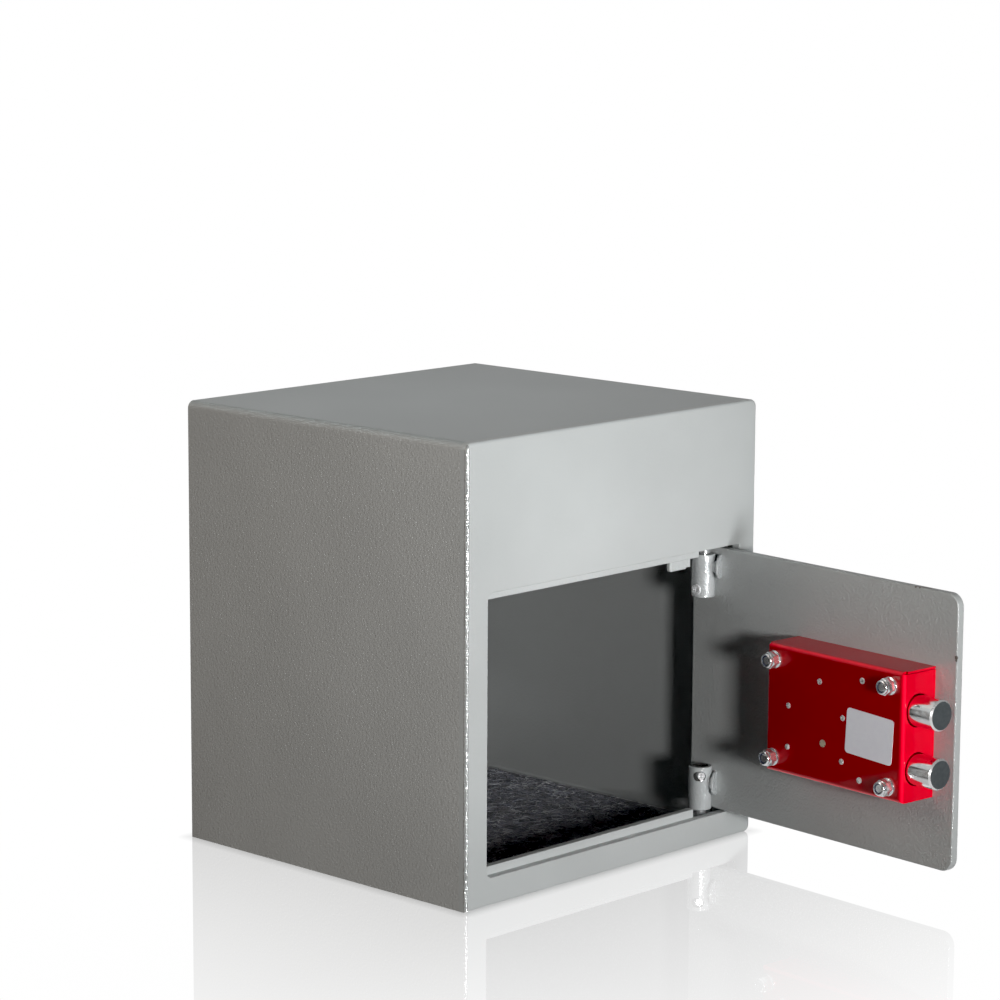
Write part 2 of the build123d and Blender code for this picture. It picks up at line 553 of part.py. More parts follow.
save("levers", opened(group(levers)))
save("lever_springs", opened(group(springs)))

# ================================================================ outside of the door
esc = dcyl_w(KEY_U, KEY_Z, 19.0, -DOOR_T - 2.2, -DOOR_T)
esc = fillet([e for e in esc.edges() if abs(e.center().Y - Y(-DOOR_T - 2.2)) < 0.01], 1.0)
esc -= dcyl_w(KEY_U, KEY_Z, 2.0, -DOOR_T - 5, 1)
esc -= dbox(KEY_U - 1.2, KEY_U + 1.2, -DOOR_T - 5, 1, KEY_Z - 4.8, KEY_Z + 4.8)
for du in (-13.0, 13.0):
    esc -= dcyl_w(KEY_U + du, KEY_Z, 1.6, -DOOR_T - 5, -DOOR_T + 1)
    esc -= dcyl_w(KEY_U + du, KEY_Z, 2.9, -DOOR_T - 3, -DOOR_T - 1.2)
COVER_Z = KEY_Z + 12.5
esc -= dcyl_w(KEY_U, COVER_Z, 1.3, -DOOR_T - 5, -DOOR_T - 0.3)
save("keyhole_escutcheon", opened(esc))

es = []
for du in (-13.0, 13.0):
    s = dcyl_w(KEY_U + du, KEY_Z, 1.45, -DOOR_T - 1.3, -DOOR_T + 3.9)
    s += dcyl_w(KEY_U + du, KEY_Z, 2.8, -DOOR_T - 2.15, -DOOR_T - 1.2)
    s -= Pos(X(KEY_U + du), Y(-DOOR_T - 2.2), KEY_Z) * Rot(0, 35 if du > 0 else -20, 0) * Box(7.0, 0.9, 0.7)
    es.append(s)
save("escutcheon_screws", opened(group(es)))

cv = dcyl_w(KEY_U, KEY_Z, 7.6, -DOOR_T - 4.0, -DOOR_T - 2.5)
cv += dcyl_w(KEY_U, COVER_Z, 3.6, -DOOR_T - 4.0, -DOOR_T - 2.5)
cv += dbox(KEY_U - 3.6, KEY_U + 3.6, -DOOR_T - 4.0, -DOOR_T - 2.5, KEY_Z, COVER_Z)
cv = fillet([e for e in cv.edges() if abs(e.center().Y - Y(-DOOR_T - 4.0)) < 0.01], 0.5)
cv -= dcyl_w(KEY_U, COVER_Z, 1.36, -DOOR_T - 9, 0)
save("keyhole_cover", opened(cv))

cr = dcyl_w(KEY_U, COVER_Z, 1.3, -DOOR_T - 4.5, -DOOR_T - 0.3)
cr_h = dcyl_w(KEY_U, COVER_Z, 2.7, -DOOR_T - 5.3, -DOOR_T - 4.2)
cr_h = fillet([e for e in cr_h.edges() if abs(e.center().Y - Y(-DOOR_T - 5.3)) < 0.01], 0.8)
cr += cr_h
save("cover_pivot_rivet", opened(cr))

a = math.radians(OPEN_DEG)
print("pivot", round(px, 3), round(py, 3))
print("bolt axis at rest", round(-math.cos(a), 6), round(-math.sin(a), 6))
print("door outward normal at rest", round(math.sin(a), 6), round(-math.cos(a), 6))


def at_rest(x, y):
    dx, dy = x - px, y - py
    return (px + dx * math.cos(a) - dy * math.sin(a), py + dx * math.sin(a) + dy * math.cos(a))


print("key axis at rest", at_rest(X(KEY_U), Y(0)), KEY_Z)
print("cover pivot at rest", at_rest(X(KEY_U), Y(-DOOR_T - 3)), COVER_Z)
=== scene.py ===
import bpy
import bmesh
import json
import math
import random
import numpy as np
from mathutils import Matrix, Vector


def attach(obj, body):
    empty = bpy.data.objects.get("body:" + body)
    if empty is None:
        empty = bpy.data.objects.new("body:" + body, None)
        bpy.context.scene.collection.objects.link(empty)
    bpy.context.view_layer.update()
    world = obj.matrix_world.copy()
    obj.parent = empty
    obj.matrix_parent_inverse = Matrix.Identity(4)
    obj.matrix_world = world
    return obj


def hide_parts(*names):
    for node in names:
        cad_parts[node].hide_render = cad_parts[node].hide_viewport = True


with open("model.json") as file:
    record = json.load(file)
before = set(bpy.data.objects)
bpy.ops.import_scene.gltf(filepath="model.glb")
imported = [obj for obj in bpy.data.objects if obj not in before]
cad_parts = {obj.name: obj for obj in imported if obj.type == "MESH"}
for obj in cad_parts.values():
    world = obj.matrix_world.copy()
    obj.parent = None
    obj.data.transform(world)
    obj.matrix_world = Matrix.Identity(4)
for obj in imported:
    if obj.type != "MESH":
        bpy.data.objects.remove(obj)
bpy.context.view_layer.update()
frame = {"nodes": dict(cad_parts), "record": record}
N = frame["nodes"]
scene = bpy.context.scene
scene.view_settings.view_transform = "Standard"
scene.view_settings.look = "None"
scene.view_settings.exposure = 0.0
scene.view_settings.gamma = 1.0
scene.view_settings.use_curve_mapping = True
scene.view_settings.curve_mapping.black_level = (0.006, 0.006, 0.006)
scene.view_settings.curve_mapping.update()

# ---------------------------------------------------------------- camera
yaw, pitch, roll = math.radians(46.360), math.radians(9.768), math.radians(0.305)
f = Vector((math.sin(yaw) * math.cos(pitch), math.cos(yaw) * math.cos(pitch), -math.sin(pitch)))
r = Vector((math.cos(yaw), -math.sin(yaw), 0.0))
u = r.cross(f)
r2 = math.cos(roll) * r + math.sin(roll) * u
u2 = -math.sin(roll) * r + math.cos(roll) * u
cam_data = bpy.data.cameras.new("camera")
cam = bpy.data.objects.new("camera", cam_data)
scene.collection.objects.link(cam)
cam.matrix_world = Matrix(((r2.x, u2.x, -f.x, -1.66901), (r2.y, u2.y, -f.y, -1.61629),
                           (r2.z, u2.z, -f.z, 0.63193), (0, 0, 0, 1)))
cam_data.sensor_width = 36.0
cam_data.lens = 125.99
cam_data.clip_start, cam_data.clip_end = 0.05, 50.0
scene.camera = cam


# ---------------------------------------------------------------- node helpers
class Graph:
    """A material's node tree, with short calls for the nodes used here."""

    def __init__(self, name):
        self.mat = bpy.data.materials.new(name)
        self.mat.use_nodes = True
        self.nt = self.mat.node_tree
        self.nt.nodes.clear()
        self.out = self.nt.nodes.new("ShaderNodeOutputMaterial")
        self.coord = self.nt.nodes.new("ShaderNodeTexCoord")
        self.pos = self.coord.outputs["Object"]

    def node(self, kind, **props):
        n = self.nt.nodes.new(kind)
        for k, v in props.items():
            setattr(n, k, v)
        return n

    def link(self, a, b):
        self.nt.links.new(a, b)

    def put(self, socket, value):
        if hasattr(value, "is_output") and value.is_output:
            self.link(value, socket)
        else:
            socket.default_value = value

    def math(self, op, a, b=None, c=None, clamp=False):
        n = self.node("ShaderNodeMath", operation=op, use_clamp=clamp)
        for i, v in enumerate((a, b, c)):
            if v is not None:
                self.put(n.inputs[i], v)
        return n.outputs[0]

    def vmath(self, op, a, b=None):
        n = self.node("ShaderNodeVectorMath", operation=op)
        self.put(n.inputs[0], a)
        if b is not None:
            self.put(n.inputs[1], b)
        return n.outputs["Value"] if op in ("LENGTH", "DISTANCE", "DOT_PRODUCT") else n.outputs[0]

    def scaled(self, sx, sy, sz, src=None, rot=(0, 0, 0)):
        n = self.node("ShaderNodeMapping")
        self.put(n.inputs["Vector"], src or self.pos)
        n.inputs["Rotation"].default_value = rot
        n.inputs["Scale"].default_value = (sx, sy, sz)
        return n.outputs[0]

    def noise(self, scale, detail=2.0, rough=0.5, src=None, distortion=0.0):
        n = self.node("ShaderNodeTexNoise")
        self.put(n.inputs["Vector"], src or self.pos)
        n.inputs["Scale"].default_value = scale
        n.inputs["Detail"].default_value = detail
        n.inputs["Roughness"].default_value = rough
        n.inputs["Distortion"].default_value = distortion
        return n.outputs[0]

    def voronoi(self, scale, feature="SMOOTH_F1", smooth=0.6, src=None):
        n = self.node("ShaderNodeTexVoronoi", feature=feature)
        self.put(n.inputs["Vector"], src or self.pos)
        n.inputs["Scale"].default_value = scale
        if feature == "SMOOTH_F1":
            n.inputs["Smoothness"].default_value = smooth
        return n.outputs[0]

    def remap(self, v, a, b, c, d, smooth=False):
        n = self.node("ShaderNodeMapRange", interpolation_type="SMOOTHSTEP" if smooth else "LINEAR")
        self.put(n.inputs["Value"], v)
        for name, x in zip(("From Min", "From Max", "To Min", "To Max"), (a, b, c, d)):
            n.inputs[name].default_value = x
        return n.outputs[0]

    def mix(self, fac, a, b):
        n = self.node("ShaderNodeMix", data_type="RGBA")
        self.put(n.inputs[0], fac)
        self.put(n.inputs[6], a if hasattr(a, "is_output") else (*a, 1.0))
        self.put(n.inputs[7], b if hasattr(b, "is_output") else (*b, 1.0))
        return n.outputs[2]

    def bump(self, height, strength, distance, base=None):
        n = self.node("ShaderNodeBump")
        n.inputs["Strength"].default_value = strength
        n.inputs["Distance"].default_value = distance
        self.put(n.inputs["Height"], height)
        if base is not None:
            self.link(base, n.inputs["Normal"])
        return n.outputs[0]

    def axis(self, n=2):
        s = self.node("ShaderNodeSeparateXYZ")
        self.link(self.pos, s.inputs[0])
        return s.outputs[n]

    def spots(self, places):
        """1 inside irregular small spots at the given places (x, y, z, radius)."""
        wob = self.noise(900.0, 3.0, 0.6)
        total = None
        for x, y, z, rad in places:
            d = self.vmath("DISTANCE", self.pos, (x, y, z))
            d = self.math("ADD", d, self.math("MULTIPLY", wob, -rad * 1.4))
            m = self.remap(d, -rad * 0.1, rad * 0.15, 1.0, 0.0)
            total = m if total is None else self.math("MAXIMUM", total, m)
        return total

    def finish(self, base, rough, normal=None, coat_too=False, **plain):
        p = self.node("ShaderNodeBsdfPrincipled")
        self.put(p.inputs["Base Color"], base if hasattr(base, "is_output") else (*base, 1.0))
        self.put(p.inputs["Roughness"], rough)
        if normal is not None:
            self.link(normal, p.inputs["Normal"])
            if coat_too:
                self.link(normal, p.inputs["Coat Normal"])
        for k, v in plain.items():
            self.put(p.inputs[k.replace("_", " ")], v)
        self.link(p.outputs[0], self.out.inputs["Surface"])
        return self.mat


def paint(name, base, peel, depth, rough, spots=None, drift=0.025, inside=None, calm_shaded_top=False,
          worn=None, ground=0.50, bore=None, face_shade=None, coat_too=False, **plain):
    """Powder paint: orange peel, slight drift of tone, chips and scuffs where they are, and painted highlight spots
    where given.
    peel is the size of a dimple in metres and depth its height. worn is a list of
    (direction, from) pairs: past all of them the paint is thin and coarse over a ground edge."""
    g = Graph(name)
    big = g.noise(9.0, 3.0, 0.55)
    dark = tuple(c * (1.0 - 2 * drift) for c in base)
    light = tuple(min(1.0, c * (1.0 + 2 * drift)) for c in base)
    col = g.mix(g.remap(big, 0.3, 0.7, 0.0, 1.0), dark, light)
    sep = g.node("ShaderNodeSeparateXYZ")
    g.link(g.pos, sep.inputs[0])
    if inside is not None:                       # painted shade: the faces inside the cabinet are painted darker, standing in for the interior's shadow
        m = g.math("LESS_THAN", g.math("ABSOLUTE", sep.outputs[0]), 0.1383)
        m = g.math("MULTIPLY", m, g.math("LESS_THAN", g.math("ABSOLUTE", sep.outputs[1]), 0.1283))
        m = g.math("MULTIPLY", m, g.math("LESS_THAN", sep.outputs[2], 0.2983))
        col = g.mix(m, col, tuple(c * k for c, k in zip(base, inside)))
        within = m
    if bore is not None:                         # painted shade: the bores of the tube are painted near black, standing in for the shadow inside the holes
        off = g.vmath("SUBTRACT", g.pos, (bore[0], bore[1], 0.0))
        flat = g.vmath("MULTIPLY", off, (1.0, 1.0, 0.0))
        m = g.remap(g.vmath("LENGTH", flat), bore[2] - 0.0002, bore[2], 1.0, 0.0)
        col = g.mix(m, col, (0.035, 0.035, 0.034))
    if face_shade is not None:                         # painted shade: faces turned the given ways take the given darker colours
        n = g.node("ShaderNodeTexCoord")
        for way, shade in face_shade:
            m = g.remap(g.vmath("DOT_PRODUCT", n.outputs["Normal"], way), 0.80, 0.99, 0.0, 1.0)
            col = g.mix(m, col, shade)
    for shade, places in (spots or ()):
        m = g.spots(places)
        col = g.mix(m, col, shade)
    swirl = g.vmath("ADD", g.pos, g.scaled_noise(0.25 / peel, peel * 0.5))
    h = g.noise(0.9 / peel, 1.2, 0.45, src=swirl)
    cells = g.voronoi(0.62 / peel, smooth=0.5, src=swirl)
    h = g.math("ADD", h, g.math("MULTIPLY", cells, -0.55))
    h = g.math("SUBTRACT", h, 0.25)
    if inside is not None:
        h = g.math("MULTIPLY", h, g.remap(within, 0.0, 1.0, 1.0, 0.35))
    if calm_shaded_top:                                 # the paint flowed out flat on the top; the top is also painted darker and cooler, as painted shade
        up = g.remap(sep.outputs[2], 0.2945, 0.2992, 0.0, 1.0)
        h = g.math("MULTIPLY", h, g.remap(up, 0.0, 1.0, 1.0, 0.10))
        # painted shade: the top faces are painted darker and cooler than the sides
        col = g.mix(g.remap(sep.outputs[2], 0.2960, 0.2998, 0.0, 1.0), col, tuple(c * k for c, k in zip(base, (0.88, 0.93, 0.94))))
    metallic = None
    ro = g.remap(g.noise(14.0, 1.0, 0.5), 0.3, 0.7, rough - 0.012, rough + 0.012)
    if worn is not None:
        for way, start in worn:
            m = g.remap(g.vmath("DOT_PRODUCT", g.pos, way), start, start + 0.0004, 0.0, 1.0)
            metallic = m if metallic is None else g.math("MULTIPLY", metallic, m)
        grit = g.math("MULTIPLY", g.math("SUBTRACT", g.noise(640.0, 1.5, 0.5), 0.25 if ground > 0.4 else 0.5), g.math("MULTIPLY", metallic, 0.00075 / depth))
        h = g.math("ADD", h, grit)
        ro = g.math("ADD", ro, g.math("MULTIPLY", metallic, -0.11))
        metallic = g.math("MULTIPLY", metallic, ground)
    nrm = g.bump(h, 1.0, depth)
    if metallic is not None:
        plain["Metallic"] = metallic
    return g.finish(col, ro, nrm, coat_too, **plain)


def scaled_noise(self, scale, amount):
    n = self.node("ShaderNodeTexNoise")
    self.link(self.pos, n.inputs["Vector"])
    n.inputs["Scale"].default_value = scale
    s = self.node("ShaderNodeVectorMath", operation="SCALE")
    self.link(n.outputs["Color"], s.inputs[0])
    s.inputs["Scale"].default_value = amount
    return s.outputs[0]


Graph.scaled_noise = scaled_noise


def metal(name, base, rough, streak=None, streak_axis="z", grain=0.0, tint=None, tint_share=0.0, spread=0.08, share=1.0, **plain):
    g = Graph(name)
    cloud = g.noise(220.0, 3.0, 0.6)
    fac = g.remap(cloud, 0.35, 0.7, 0.0, 1.0)
    col = g.mix(fac, tuple(c * 0.86 for c in base), base)
    if tint:
        t = g.remap(g.noise(120.0, 2.0, 0.5), 0.45, 0.75, 0.0, tint_share)
        col = g.mix(t, col, tint)
    ro = g.remap(g.noise(500.0, 2.0, 0.6), 0.3, 0.75, max(0.02, rough - spread), rough + spread)
    nrm = None
    if streak:
        sx, sy, sz = streak
        nrm = g.bump(g.noise(1.0, 2.0, 0.6, src=g.scaled(sx, sy, sz, rot=(0, 0, math.radians(5)))), 1.0, grain)
    elif grain:
        nrm = g.bump(g.noise(1400.0, 2.0, 0.6), 1.0, grain)
    return g.finish(col, ro, nrm, Metallic=share, **plain)


GREY = (0.560, 0.588, 0.590)
M = {}
# the cabinet's inner faces and its top are painted darker here, as painted shade
M["side_paint"] = paint("side_paint", (0.568, 0.585, 0.583), 0.0013, 0.00025, 0.34, inside=(0.58, 0.585, 0.59), calm_shaded_top=True)
M["front_paint"] = paint("front_paint", GREY, 0.0022, 0.00007, 0.34,
                         worn=(((-1.0, 0.0, 0.0), 0.1378), ((0.0, -1.0, 0.0), 0.1278)))
M["inner_paint"] = paint("inner_paint", GREY, 0.0020, 0.00018, 0.34)
CHIP, SCUFF = (0.10, 0.085, 0.075), (0.17, 0.14, 0.12)
M["door_paint"] = paint(
    "door_paint", (0.445, 0.463, 0.463), 0.0013, 0.00033, 0.34,
    worn=(((-0.08716, -0.99619, 0.0), 0.32585), ((-0.99619, 0.08716, 0.0), -0.12160)), ground=0.20,
    spots=((SCUFF, ((0.0960, -0.3000, 0.2014, 0.0018), (0.0966, -0.3030, 0.2014, 0.0024), (0.0972, -0.3062, 0.2015, 0.0026),
                    (0.0966, -0.3094, 0.2014, 0.0022))),
           (CHIP, ((0.0920, -0.3355, 0.1610, 0.0018), (0.0919, -0.3354, 0.1592, 0.0012), (0.0972, -0.3075, 0.2015, 0.0012))),
           # painted highlight: two pale spots on the door's top edge near the hinge stand in for a glint
           ((0.80, 0.81, 0.80), ((0.1088, -0.1300, 0.2013, 0.0016), (0.1092, -0.1318, 0.2013, 0.0012)))))
M["hinge_paint"] = paint("hinge_paint", (0.58, 0.61, 0.62), 0.0013, 0.00022, 0.20, bore=(0.1031, -0.1162, 0.0076),
                         coat_too=True, Metallic=0.22, Coat_Weight=1.0, Coat_Roughness=0.09)
M["lock_paint"] = paint("lock_paint", (0.92, 0.0, 0.026), 0.0016, 0.000010, 0.50, drift=0.02,
                        # painted shade: the case's front face and top are painted darker red than its end
                        face_shade=(((-0.99619, 0.08716, 0.0), (0.43, 0.0, 0.006)), ((0.0, 0.0, 1.0), (0.58, 0.0, 0.012))),
                        Metallic=0.40, Specular_IOR_Level=0.12, Coat_Weight=0.5, Coat_Roughness=0.05)
M["zinc"] = metal("zinc", (0.94, 0.96, 0.98), 0.19, spread=0.03, share=0.88)
M["screw_zinc"] = metal("screw_zinc", (0.95, 0.96, 0.98), 0.28, grain=0.00003, share=0.40)
M["lock_steel"] = metal("lock_steel", (0.93, 0.93, 0.92), 0.28, spread=0.03, share=0.55)
M["rotor_brass"] = metal("rotor_brass", (0.86, 0.78, 0.60), 0.30, grain=0.00002, share=0.60)
M["spring_steel"] = metal("spring_steel", (0.34, 0.36, 0.42), 0.30, grain=0.00002)
M["lever_brass"] = metal("lever_brass", (0.78, 0.57, 0.26), 0.28, streak=(60.0, 60.0, 2400.0), grain=0.00002)


def bolt_steel():
    """Polished bar with fine drawn lines; the end faces are painted near black and made matte, as painted shade, and
    the chamfer ring is painted pale, as a painted highlight.
    """
    g = Graph("bolt_steel")
    n = g.node("ShaderNodeTexCoord")
    face = g.vmath("DOT_PRODUCT", n.outputs["Normal"], (-0.08716, -0.99619, 0.0))
    end = g.remap(face, 0.93, 0.97, 0.0, 1.0)
    # painted highlight: the chamfer ring between end and side
    rim_highlight = g.math("MULTIPLY", g.remap(face, 0.35, 0.45, 0.0, 1.0), g.math("SUBTRACT", 1.0, end))
    cloud = g.noise(220.0, 3.0, 0.6)
    side = g.mix(g.remap(cloud, 0.35, 0.7, 0.0, 1.0), (0.66, 0.66, 0.665), (0.76, 0.76, 0.765))
    # painted shade: near-black tone for the end faces
    end_shade = g.mix(g.remap(g.noise(420.0, 3.0, 0.6), 0.35, 0.7, 0.0, 1.0), (0.066, 0.076, 0.082), (0.088, 0.100, 0.106))
    col = g.mix(rim_highlight, g.mix(end, side, end_shade), (0.80, 0.80, 0.81))
    metallic = g.math("SUBTRACT", 1.0, g.math("ADD", g.math("MULTIPLY", end, 0.75), g.math("MULTIPLY", rim_highlight, 0.45)))
    ro = g.remap(g.noise(500.0, 2.0, 0.6), 0.3, 0.75, 0.10, 0.17)
    ro = g.math("ADD", ro, g.math("ADD", g.math("MULTIPLY", end, 0.36), g.math("MULTIPLY", rim_highlight, 0.12)))
    lines = g.noise(1.0, 2.0, 0.6, src=g.scaled(1500.0, 25.0, 1500.0, rot=(0, 0, math.radians(5))))
    return g.finish(col, ro, g.bump(lines, 1.0, 0.000008), Metallic=metallic)


M["bolt_steel"] = bolt_steel()

g = Graph("nylon")
M["nylon"] = g.finish(g.mix(g.remap(g.noise(700.0), 0.3, 0.7, 0.0, 1.0), (0.010, 0.022, 0.060), (0.018, 0.040, 0.10)),
                      g.remap(g.noise(900.0), 0.3, 0.7, 0.25, 0.40), g.bump(g.noise(2500.0), 1.0, 0.00003))
g = Graph("label")
M["label"] = g.finish(g.mix(g.remap(g.noise(300.0, 3.0), 0.3, 0.7, 0.0, 1.0), (0.87, 0.88, 0.965), (0.90, 0.915, 0.99)),
                      g.remap(g.noise(90.0), 0.3, 0.7, 0.30, 0.42), g.bump(g.noise(1100.0, 3.0), 1.0, 0.00002),
                      Coat_Weight=0.6, Coat_Roughness=0.25)

for row in frame["record"]["subparts"]:
    ob = N[row["node"]]
    slot = row["material_slot"]
    if slot in M:
        for s in ob.material_slots:
            s.material = M[{"hinge_clamp_screws": "screw_zinc", "key_rotor": "rotor_brass"}.get(row["node"], slot)]

# ---------------------------------------------------------------- felt mat
# Needle felt: a lumpy mat with loose fibres lying over it.
MX, MY0, MY1, MZ0, MZ1 = 0.1306, -0.0956, 0.1206, 0.00305, 0.0052
rng = np.random.default_rng(4021)


def lumps(x, y, seed, cell):
    """Smooth value noise, 0 to 1."""
    r = np.random.default_rng(seed)
    n = 512
    table = r.random((n, n))
    gx, gy = x / cell + 137.3, y / cell + 251.7
    ix, iy = np.floor(gx).astype(int), np.floor(gy).astype(int)
    tx, ty = gx - ix, gy - iy
    tx, ty = tx * tx * (3 - 2 * tx), ty * ty * (3 - 2 * ty)
    t = lambda i, j: table[i % n, j % n]
    return ((t(ix, iy) * (1 - tx) + t(ix + 1, iy) * tx) * (1 - ty)
            + (t(ix, iy + 1) * (1 - tx) + t(ix + 1, iy + 1) * tx) * ty)


def felt_height(x, y):
    return (0.55 * lumps(x, y, 11, 0.0042) + 0.45 * lumps(x, y, 12, 0.0019)) * 0.0011


def felt_mat():
    step = 0.0016
    xs = np.linspace(-MX, MX, int(2 * MX / step) + 1)
    ys = np.linspace(MY0, MY1, int((MY1 - MY0) / step) + 1)
    gx, gy = np.meshgrid(xs, ys, indexing="ij")
    nx, ny = gx.shape
    edge = np.minimum(np.minimum(gx + MX, MX - gx), np.minimum(gy - MY0, MY1 - gy))
    soft = np.clip(edge / 0.0030, 0.0, 1.0)
    top = MZ0 + 0.0010 + (MZ1 - MZ0 - 0.0021) * (0.55 + 0.45 * soft) + felt_height(gx, gy) * (0.35 + 0.65 * soft)
    verts = np.concatenate([np.stack([gx, gy, top], -1).reshape(-1, 3),
                            np.stack([gx, gy, np.full_like(gx, MZ0)], -1).reshape(-1, 3)])
    off = nx * ny
    idx = lambda i, j: i * ny + j
    faces = []
    edges = {}
    for i in range(nx - 1):
        for j in range(ny - 1):
            a, b, c, d = idx(i, j), idx(i + 1, j), idx(i + 1, j + 1), idx(i, j + 1)
            faces.append((a, b, c, d))
            faces.append((a + off, d + off, c + off, b + off))
            for e in ((a, b), (b, c), (c, d), (d, a)):
                if (e[1], e[0]) in edges:
                    del edges[(e[1], e[0])]
                else:
                    edges[e] = True
    for a, b in edges:
        faces.append((b, a, a + off, b + off))
    me = bpy.data.meshes.new("felt_mat")
    me.from_pydata(verts.tolist(), [], faces)
    me.validate()
    bm = bmesh.new()
    bm.from_mesh(me)
    bmesh.ops.delete(bm, geom=[v for v in bm.verts if not v.link_faces], context="VERTS")
    bm.to_mesh(me)
    bm.free()
    me.polygons.foreach_set("use_smooth", [True] * len(me.polygons))
    ob = bpy.data.objects.new("felt_mat", me)
    scene.collection.objects.link(ob)
    return ob


def felt_fibres(count=7600, rings=7):
    x = rng.uniform(-MX + 0.004, MX - 0.004, count)
    y = rng.uniform(MY0 + 0.004, MY1 - 0.004, count)
    th = rng.uniform(0, 2 * math.pi, count)
    turn = rng.normal(0, 0.32, count)
    seg = rng.uniform(0.0009, 0.0021, count)
    rad = rng.uniform(0.00010, 0.00021, count)
    lift = rng.uniform(0.0, 0.00045, count)
    pts = np.zeros((count, rings, 3))
    for k in range(rings):
        pts[:, k, 0], pts[:, k, 1] = x, y
        arch = math.sin(math.pi * k / (rings - 1))
        pts[:, k, 2] = MZ0 + 0.0010 + (MZ1 - MZ0 - 0.0021) + felt_height(x, y) + lift * arch + (arch - 0.75) * 0.00022
        th = th + turn + rng.normal(0, 0.38, count)
        x = np.clip(x + np.cos(th) * seg, -MX + 0.0006, MX - 0.0006)
        y = np.clip(y + np.sin(th) * seg, MY0 + 0.0006, MY1 - 0.0006)
    step = np.linalg.norm(np.diff(pts[:, :, :2], axis=1), axis=2)
    ok = (step > 0.0004).all(1)
    pts, rad = pts[ok], rad[ok]
    count = len(pts)
    tan = np.gradient(pts, axis=1)
    tan /= np.linalg.norm(tan, axis=2, keepdims=True)
    side = np.cross(tan, np.array([0.0, 0.0, 1.0]))
    side /= np.linalg.norm(side, axis=2, keepdims=True)
    up = np.cross(side, tan)
    verts = np.zeros((count, rings, 3, 3))
    thin = np.array([0.35] + [1.0] * (rings - 2) + [0.35])
    for m in range(3):
        ang = 2 * math.pi * m / 3 + math.pi / 2
        verts[:, :, m] = pts + (side * math.cos(ang) + up * math.sin(ang)) * (rad[:, None] * thin[None, :])[..., None]
    verts[..., 2] = np.clip(verts[..., 2], MZ0 + 0.0002, MZ1 + 0.0003)
    base = (np.arange(count) * rings * 3)[:, None]
    quads = []
    for k in range(rings - 1):
        for m in range(3):
            n = (m + 1) % 3
            quads.append(np.concatenate([base + k * 3 + m, base + k * 3 + n, base + (k + 1) * 3 + n, base + (k + 1) * 3 + m], 1))
    quads = np.stack(quads, 1).reshape(-1, 4)
    ends = np.concatenate([np.concatenate([base + 2, base + 1, base], 1),
                           np.concatenate([base + (rings - 1) * 3, base + (rings - 1) * 3 + 1, base + (rings - 1) * 3 + 2], 1)])
    me = bpy.data.meshes.new("felt_fibres")
    me.from_pydata(verts.reshape(-1, 3).tolist(), [], quads.tolist() + ends.tolist())
    tone = rng.choice(4, count, p=(0.36, 0.36, 0.20, 0.08))
    per = (rings - 1) * 3
    me.polygons.foreach_set("material_index", np.concatenate([np.repeat(tone, per), tone, tone]).astype(np.int32))
    me.polygons.foreach_set("use_smooth", [True] * len(me.polygons))
    ob = bpy.data.objects.new("felt_fibres", me)
    scene.collection.objects.link(ob)
    return ob


def felt(name, a, b, scale=700.0):
    g = Graph(name)
    col = g.mix(g.remap(g.noise(scale, 3.0, 0.6), 0.35, 0.65, 0.0, 1.0), a, b)
    patch = g.remap(g.noise(95.0, 2.0, 0.6), 0.35, 0.65, 0.70, 1.0)
    dim = g.node("ShaderNodeVectorMath", operation="SCALE")
    g.link(col, dim.inputs[0])
    g.link(patch, dim.inputs["Scale"])
    return g.finish(dim.outputs[0], g.remap(g.noise(300.0), 0.3, 0.7, 0.75, 0.95), g.bump(g.noise(1800.0, 3.0, 0.7), 1.0, 0.00025),
                    Sheen_Weight=0.25, Sheen_Roughness=0.4)


M["carpet"] = felt("carpet", (0.040, 0.044, 0.056), (0.185, 0.193, 0.235))
mat = felt_mat()
mat.data.materials.append(M["carpet"])
fibres = felt_fibres()
for nm, ca, cb in (("felt_dark", (0.040, 0.045, 0.060), (0.100, 0.108, 0.140)),
                   ("felt_slate", (0.21, 0.23, 0.29), (0.36, 0.385, 0.46)),
                   ("felt_grey", (0.46, 0.475, 0.54), (0.66, 0.69, 0.76)),
                   ("felt_pale", (0.78, 0.80, 0.86), (0.92, 0.94, 0.97))):
    fibres.data.materials.append(felt(nm, ca, cb, 400.0))
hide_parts("carpet_mat")
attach(mat, "cabinet")
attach(fibres, "cabinet")

